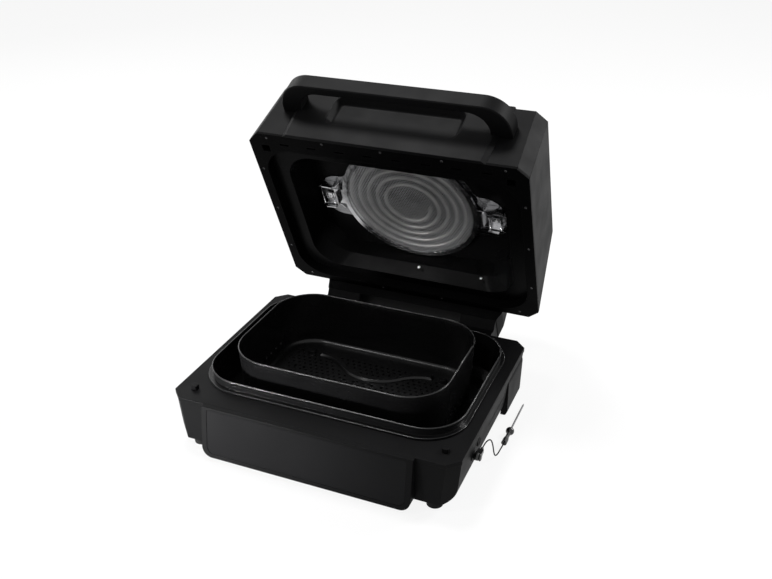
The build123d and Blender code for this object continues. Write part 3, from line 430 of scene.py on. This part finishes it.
def loop_round(low, high, radius, z):
    """Points round a rectangle with rounded corners, from its two far corners in plan."""
    loop = []
    corners = (
        (high.x, high.y, -1, -1),
        (low.x, high.y, 1, -1),
        (low.x, low.y, 1, 1),
        (high.x, low.y, -1, 1),
    )
    for quarter, (x, y, in_x, in_y) in enumerate(corners):
        for step in range(CORNER_STEPS + 1):
            turned = (quarter + step / CORNER_STEPS) * pi / 2
            centre = Vector((x + in_x * radius, y + in_y * radius, z))
            loop.append(centre + Vector((cos(turned), sin(turned), 0)) * radius)
    loop.append(loop[0].copy())
    return loop


def prism(profile, front, rear, round_by, lean=0.0):
    """A bar along the base's side, from its outline and its ends, the rear one leaning in."""
    form = bmesh.new()
    top = profile[0][1]
    ends = [
        [form.verts.new(on_base(x, front, z)) for x, z in profile],
        [form.verts.new(on_base(x, rear + lean * (z - top), z)) for x, z in profile],
    ]
    skin(form, ends)
    form.faces.new(ends[0])
    form.faces.new(reversed(ends[1]))
    bmesh.ops.recalc_face_normals(form, faces=form.faces)
    edges = form.edges[:]
    offset = round_by * MM
    bmesh.ops.bevel(form, geom=edges, offset=offset, segments=BEVEL_STEPS, affect="EDGES")
    return form


# Splash guard's disc, punched with fine holes
FAN_BACK = 4.25
DISC_Z = 55.25
DISC_R = 106.0
GUARD_PITCH = 4.0
GUARD_HOLE = 1.85
disc_form = perforated_disc(
    on_lid(0, FAN_BACK, DISC_Z), RIGHT, LID_BACK, DISC_R * MM, GUARD_PITCH * MM, GUARD_HOLE * MM
)
guard_sheet = piece("guard_sheet", disc_form, guard_steel, "guard")
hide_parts("guard_disc")

# Heating element, one tube wound outwards under the fan
COIL_TURNS = 4.6
COIL_STEPS = 48
COIL_FIRST = 32.0
COIL_LAST = 98.0
COIL_Z = 59.3
COIL_R = 3.0
coil = []
for n in range(int(COIL_TURNS * COIL_STEPS) + 1):
    turned = 2 * pi * n / COIL_STEPS
    radius = COIL_FIRST + (COIL_LAST - COIL_FIRST) * n / (COIL_TURNS * COIL_STEPS)
    coil.append(on_lid(radius * cos(turned), FAN_BACK + radius * sin(turned), COIL_Z))
heater_coil = piece("heater_coil", tube(coil, COIL_R * MM), element, "lid")
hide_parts("heating_element")

# Dark ring behind the element, a sheet of painted shade that darkens the cavity seen through the
# guard's holes
SHADE_IN = 60.0
SHADE_OUT = 105.0
SHADE_Z = 62.5
SHADE_T = 0.35
SHADE = [(SHADE_IN, 0), (SHADE_OUT, 0), (SHADE_OUT, SHADE_T), (SHADE_IN, SHADE_T)]
shade_form = lathed(on_lid(0, FAN_BACK, SHADE_Z), LID_UP, SHADE, sides=72, hollow=True)
piece("painted_shade_ring", shade_form, painted_shade_sheet, "lid")

# Pan-head screws and domed rivets, each from pairs of a share of the radius and a height
SCREW = [(1, 0), (1, 0.5), (0.8, 1.0), (0.45, 1.2), (0.4, 0.5), (0.1, 0.4)]
RIVET = [(1, 0), (1, 0.3), (0.85, 0.8), (0.5, 1.15), (0.12, 1.3)]
SCREW_R = 2.0
LATCH_RIVET_R = 2.0
WALL_RIVET_R = 2.2


def fixing(name, outline, foot, out, radius, material):
    """A screw or a rivet on the lid."""
    profile = [(share * radius, height) for share, height in outline]
    piece(name, lathed(foot, out, profile), material, "lid")


# Latches that hold the splash guard, each two bent rails and two clips, two rods and a small plate
RAIL_FRONT = [
    (112, -26),
    (118, -19),
    (122, -14),
    (128, -13.5),
    (143, -14.5),
    (148, -13),
    (150.5, -10),
]
RAIL_REAR = [
    (112, 30),
    (118, 23),
    (122, 21.5),
    (128, 22.5),
    (143, 23.5),
    (147, 25),
    (150.5, 28),
]
CLIP_FRONT = [(125.5, -17), (142, -17.5)]
CLIP_REAR = [(126, 26), (142.5, 27)]
RAIL_LOW = 54.0
RAIL_T = 0.9
CLIP_LOW = 48.2
CLIP_T = 1.6
LATCH_HIGH = 62.6
LATCH_STRIPS = (
    ("rail_front", RAIL_FRONT, RAIL_LOW, RAIL_T),
    ("rail_rear", RAIL_REAR, RAIL_LOW, RAIL_T),
    ("clip_front", CLIP_FRONT, CLIP_LOW, CLIP_T),
    ("clip_rear", CLIP_REAR, CLIP_LOW, CLIP_T),
)
ROD_X = (128.5, 146.0)
ROD_ENDS = (-14, 23)
ROD_Z = 52.5
ROD_R = 0.8
PLATE_X = 137
PLATE_ENDS = (6, 23)
PLATE_LOW = 59.0
PLATE_HIGH = 60.2
PLATE_W = 14
PLATE_RIVET = 11
for hand, word in ((-1, "left"), (1, "right")):
    for rail, points, low, thick in LATCH_STRIPS:
        bent = strip([(hand * x, y) for x, y in points], low, LATCH_HIGH, thick)
        piece("latch_" + rail + "_" + word, bent, bright, "lid")
    for n, x in enumerate(ROD_X):
        rod = tube([on_lid(hand * x, y, ROD_Z) for y in ROD_ENDS], ROD_R * MM)
        piece("latch_rod_" + word + "_" + str(n + 1), rod, bright, "lid")
    flat = strip([(hand * PLATE_X, y) for y in PLATE_ENDS], PLATE_LOW, PLATE_HIGH, PLATE_W)
    piece("latch_plate_" + word, flat, bright, "lid")
    rivet_foot = on_lid(hand * PLATE_X, PLATE_RIVET, PLATE_LOW)
    fixing("latch_rivet_" + word, RIVET, rivet_foot, -LID_UP, LATCH_RIVET_R, pale)
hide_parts("latch_brackets")

# Two rivets in the rear wall of the lid's cavity
WALL_RIVET_X = (8, 112)
WALL_RIVET_Y = 117.2
WALL_RIVET_Z = 30
for n, x in enumerate(WALL_RIVET_X):
    rivet_foot = on_lid(x, WALL_RIVET_Y, WALL_RIVET_Z)
    fixing("wall_rivet_" + str(n + 1), RIVET, rivet_foot, -LID_BACK, WALL_RIVET_R, pale)

# Screws round the lid's frame
FRAME_LOW = 4.6
screws = [(x, -154.5) for x in (-89.5, 0, 89.5)] + [(x, 154.5) for x in (-51, 51)]
for hand in (-1, 1):
    for x, y in ((178.5, -152.5), (202, -88), (202, -3), (202, 85), (180, 149)):
        screws.append((hand * x, y))
for n, (x, y) in enumerate(screws):
    screw_foot = on_lid(x, y, FRAME_LOW)
    screw_name = "frame_screw_" + str(n + 1)
    fixing(screw_name, SCREW, screw_foot, -LID_UP, SCREW_R, screw_black)

# Rolled rims of the pot and the basket, and the rolled edge of the pot's flange, in a lighter copy
# of the coating whose lighter colour is a painted highlight
LIP_IN = (4.4, 6.2, 8.6)
POT_R = 57.7
BASKET_R = 59.6
HALF_WALL = 1.0
LIP_R = 1.15
LIP_DROP = 0.5
EDGE_R = 0.7
EDGE_UP = 2.4


def rolled_rim(name, low, high, insets, corner, z, radius, body):
    """A rolled rim, set in at a box's sides, front and rear, in millimetres but for z."""
    side_in, front_in, rear_in = insets
    rim_low = Vector((low.x + side_in * MM, low.y + front_in * MM))
    rim_high = Vector((high.x - side_in * MM, high.y - rear_in * MM))
    rim = tube(loop_round(rim_low, rim_high, corner * MM, z), radius * MM)
    piece(name, rim, rolled, body)


lip_in = [inset + HALF_WALL for inset in LIP_IN]
lip_r = POT_R - HALF_WALL
lip_z = pot_high.z - LIP_DROP * MM
rolled_rim("pot_lip", pot_low, pot_high, lip_in, lip_r, lip_z, LIP_R, "pot")
edge_in = [EDGE_R] * 3
edge_r = POT_R + LIP_IN[0] - EDGE_R
edge_z = DECK_Z + EDGE_UP * MM
rolled_rim("pot_edge", pot_low, pot_high, edge_in, edge_r, edge_z, EDGE_R, "pot")
rim_in = [HALF_WALL] * 3
rim_r = BASKET_R - HALF_WALL
rim_z = basket_high.z - LIP_DROP * MM
rolled_rim("basket_rim", basket_low, basket_high, rim_in, rim_r, rim_z, LIP_R, "basket")

# Fine holes punched in the basket's floor, wherever it is flat, each drawn as a low ring round a
# near-black disc, painted shade that stands in for the opening
HOLE_ROWS = 9
HOLE_COLUMNS = 14
HOLE_PITCH_X = 9.5 * MM
HOLE_PITCH_Y = 8.2 * MM
HOLE_SPREAD_X = 132 * MM
HOLE_SPREAD_Y = 72 * MM
HOLE_REACH = 3.4 * MM
HOLE_SIDES = 10
HOLE = ((2.0, 0.02), (1.7, 0.16), (1.35, 0.06))
FLAT_WITHIN = 0.2 * MM
FLOOR_SPOT = 7 * MM
middle = (basket_low + basket_high) / 2
basket_mesh = nodes["crisper_basket"].data
basket_tree = BVHTree.FromPolygons(
    [vertex.co for vertex in basket_mesh.vertices],
    [face.vertices for face in basket_mesh.polygons],
)


def floor_below(x, y):
    """The point of the basket under its open top, if there is one."""
    return basket_tree.ray_cast(Vector((x, y, basket_high.z)), DOWN)[0]


floor_z = floor_below(0, middle.y + FLOOR_SPOT).z


def lies_flat(x, y, reach):
    """Whether the basket's floor is flat and whole round a place."""
    for aside, ahead in ((0, 0), (reach, 0), (-reach, 0), (0, reach), (0, -reach)):
        found = floor_below(x + aside, y + ahead)
        if found is None or abs(found.z - floor_z) > FLAT_WITHIN:
            return False
    return True


punched = bmesh.new()
for row in range(-HOLE_ROWS, HOLE_ROWS + 1):
    for column in range(-HOLE_COLUMNS, HOLE_COLUMNS + 1):
        x = (column + (row % 2) / 2) * HOLE_PITCH_X
        y = row * HOLE_PITCH_Y
        if abs(x) > HOLE_SPREAD_X or abs(y) > HOLE_SPREAD_Y:
            continue
        if not lies_flat(x, middle.y + y, HOLE_REACH):
            continue
        rings = []
        for radius, height in HOLE:
            centre = Vector((x, middle.y + y, floor_z + height * MM))
            ring = []
            for t in round_angles(HOLE_SIDES):
                place = centre + Vector((cos(t), sin(t), 0)) * radius * MM
                ring.append(punched.verts.new(place))
            rings.append(ring)
        skin(punched, rings)
        punched.faces.new(rings[-1])
piece("floor_holes", punched, joint_dark_hole_shade, "basket")

# Cover over the rear half of the base's right side, and the seam before it
COVER = [
    (208.0, -14.0),
    (209.4, -19.0),
    (209.4, -66.0),
    (206.5, -72.0),
    (199.0, -72.0),
    (203.0, -40.0),
]
COVER_ENDS = (66.0, 142.0)
COVER_ROUND = 0.8
COVER_LEAN = 0.14
SEAM = [(205.8, -30.8), (207.0, -30.6), (207.1, -29.6), (205.8, -29.4)]
SEAM_ENDS = (-20.0, 50.0)
SEAM_ROUND = 0.1
cover_form = prism(COVER, *COVER_ENDS, COVER_ROUND, COVER_LEAN)
piece("side_cover", cover_form, plastic, "base")
seam_form = prism(SEAM, *SEAM_ENDS, SEAM_ROUND)
piece("side_seam", seam_form, joint_dark_hole_shade, "base")

# Barrel of the probe's plug, and a round cap behind it on the side
BARREL = [
    (4.6, 0),
    (5.2, 0.5),
    (5.2, 5.4),
    (4.6, 5.9),
    (4.6, 6.7),
    (5.2, 7.2),
    (5.2, 8.4),
    (4.0, 9.3),
    (1.2, 9.5),
]
CAP = [(6.6, 0), (6.6, 1.2), (5.8, 1.9), (4.6, 1.9), (4.2, 1.5), (1.0, 1.5)]
BARREL_FOOT = on_base(208.6, -86.0, -34.0)
CAP_FOOT = on_base(206.6, -66.0, -25.0)
barrel_form = lathed(BARREL_FOOT, RIGHT, BARREL, sides=32)
piece("plug_barrel", barrel_form, barrel_black, "probe")
cap_form = lathed(CAP_FOOT, RIGHT, CAP, sides=32)
piece("side_cap", cap_form, plastic, "base")

# Probe's cable, from the plug down to the surface and up to the grip
CABLE_D = 1.8 * MM
cable_route = [
    (213.0, -66.0, -34.0),
    (213.0, -55.5, -34.0),
    (214.3, -45.8, -35.2),
    (215.8, -37.5, -39.5),
    (216.8, -32.0, -48.5),
    (217.8, -29.5, -58.5),
    (218.6, -28.2, -67.5),
    (219.6, -24.5, -75.5),
    (220.8, -17.0, -78.0),
    (222.4, -10.5, -74.5),
    (224.2, -5.0, -70.7),
    (224.1, 2.0, -71.1),
]
cable_curve = bpy.data.curves.new("probe_lead", "CURVE")
cable_curve.dimensions = "3D"
line = cable_curve.splines.new("NURBS")
line.points.add(len(cable_route) - 1)
for point, place in zip(line.points, cable_route):
    point.co = (*on_base(*place), 1)
line.order_u = 3
line.use_endpoint_u = True
line.resolution_u = 12
cable_curve.bevel_depth = CABLE_D / 2
cable_curve.bevel_resolution = 3
cable_curve.materials.append(rubber)
cable = add_object("probe_lead", cable_curve)
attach(cable, "probe")
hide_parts("probe_cable")

# Camera at the photograph's angle
AZIMUTH = radians(23.09)
ELEVATION = radians(28.27)
ROLL = radians(-0.5)
DISTANCE = 1.26012
TARGET = on_base(48.69, 0, 137.01)
SENSOR = 36
LENS = 43.565
NEAR = 0.05
FAR = 20
back = Vector((sin(AZIMUTH) * cos(ELEVATION), -cos(AZIMUTH) * cos(ELEVATION), sin(ELEVATION)))
level = Vector((0, 0, 1)).cross(back).normalized()
upright = back.cross(level)
right = level * cos(ROLL) + upright * sin(ROLL)
up = upright * cos(ROLL) - level * sin(ROLL)
turn = Matrix((right, up, back)).transposed().to_4x4()
camera = add_object("camera", bpy.data.cameras.new("camera"))
camera.matrix_world = Matrix.Translation(TARGET + back * DISTANCE) @ turn
camera.data.sensor_width = SENSOR
camera.data.lens = LENS
camera.data.clip_start = NEAR
camera.data.clip_end = FAR
bpy.context.scene.camera = camera


# Floor and world

FLOOR_HALF = 30.0
FLOOR_DROP = 0.0005
FLOOR_WHITE = 0.9
SHADOW = 0.12
SKY_LIGHT = 0.3


def seen_ray(tree):
    """One where the camera, gloss or glass looks, and nought where light is gathered."""
    path = tree.nodes.new("ShaderNodeLightPath")
    seen = path.outputs["Is Camera Ray"]
    for ray in ("Is Glossy Ray", "Is Transmission Ray"):
        either = tree.nodes.new("ShaderNodeMath")
        either.operation = "MAXIMUM"
        tree.links.new(seen, either.inputs[0])
        tree.links.new(path.outputs[ray], either.inputs[1])
        seen = either.outputs[0]
    return seen


def white_stage(name, shadow):
    """White that shows the object's shadow softly and reads as plain white to camera and gloss."""
    made = bpy.data.materials.new(name)
    made.use_nodes = True
    tree = made.node_tree
    tree.nodes.clear()
    out = tree.nodes.new("ShaderNodeOutputMaterial")
    mix = tree.nodes.new("ShaderNodeMixShader")
    matt = tree.nodes.new("ShaderNodeBsdfDiffuse")
    matt.inputs["Color"].default_value = (FLOOR_WHITE, FLOOR_WHITE, FLOOR_WHITE, 1)
    glow = tree.nodes.new("ShaderNodeEmission")
    share = tree.nodes.new("ShaderNodeMath")
    share.operation = "MULTIPLY"
    share.inputs[1].default_value = 1 - shadow
    tree.links.new(seen_ray(tree), share.inputs[0])
    tree.links.new(share.outputs[0], mix.inputs["Fac"])
    tree.links.new(matt.outputs[0], mix.inputs[1])
    tree.links.new(glow.outputs[0], mix.inputs[2])
    tree.links.new(mix.outputs[0], out.inputs["Surface"])
    return made


unit_corners = ((-1, -1), (1, -1), (1, 1), (-1, 1))
floor_corners = [(x * FLOOR_HALF, y * FLOOR_HALF, 0) for x, y in unit_corners]
floor_mesh = bpy.data.meshes.new("floor")
floor_mesh.from_pydata(floor_corners, [], [(0, 1, 2, 3)])
floor_mesh.materials.append(white_stage("floor_white", SHADOW))
floor = add_object("floor", floor_mesh)
floor.location.z = -FLOOR_DROP
floor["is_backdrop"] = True

world = bpy.data.worlds.new("studio")
bpy.context.scene.world = world
world.use_nodes = True
sky = world.node_tree
backdrop = sky.nodes["Background"]
backdrop.inputs["Color"].default_value = (1, 1, 1, 1)
sky_seen = sky.nodes.new("ShaderNodeMapRange")
sky_seen.inputs["To Min"].default_value = SKY_LIGHT
sky_seen.inputs["To Max"].default_value = 1.0
sky.links.new(seen_ray(sky), sky_seen.inputs["Value"])
sky.links.new(sky_seen.outputs["Result"], backdrop.inputs["Strength"])


# Lamps

MIDDLE = (0, 0, 0.2)
KEY_AIM = (0.1, 0, 0.3)
PANEL_AIM = (-0.17, -0.24, 0.03)


def softbox(name, place, aim, width, height, power, spread=180):
    """A rectangular lamp that points at a place, with its spread in degrees."""
    lamp = bpy.data.lights.new(name, "AREA")
    lamp.shape = "RECTANGLE"
    lamp.size = width
    lamp.size_y = height
    lamp.energy = power
    lamp.spread = radians(spread)
    made = add_object(name, lamp)
    made.location = place
    made.rotation_euler = (Vector(aim) - Vector(place)).to_track_quat("-Z", "Y").to_euler()
    made.visible_camera = False


softbox("key_right", (1.57, 1.27, 1.49), KEY_AIM, width=0.5, height=0.5, power=34)
softbox("fill_left", (-1.7, 1.2, 1.2), MIDDLE, width=0.5, height=0.9, power=8)
softbox("top", (-0.6, 0.35, 2.3), MIDDLE, width=0.5, height=0.5, power=42)
softbox("front_high", (-0.9, -1.1, 2.0), MIDDLE, width=0.35, height=0.35, power=10)
softbox("low_left", (-0.6, -0.95, 0.08), PANEL_AIM, width=0.3, height=0.14, power=0.85, spread=24)

bpy.context.scene.view_settings.view_transform = "Standard"

low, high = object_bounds()
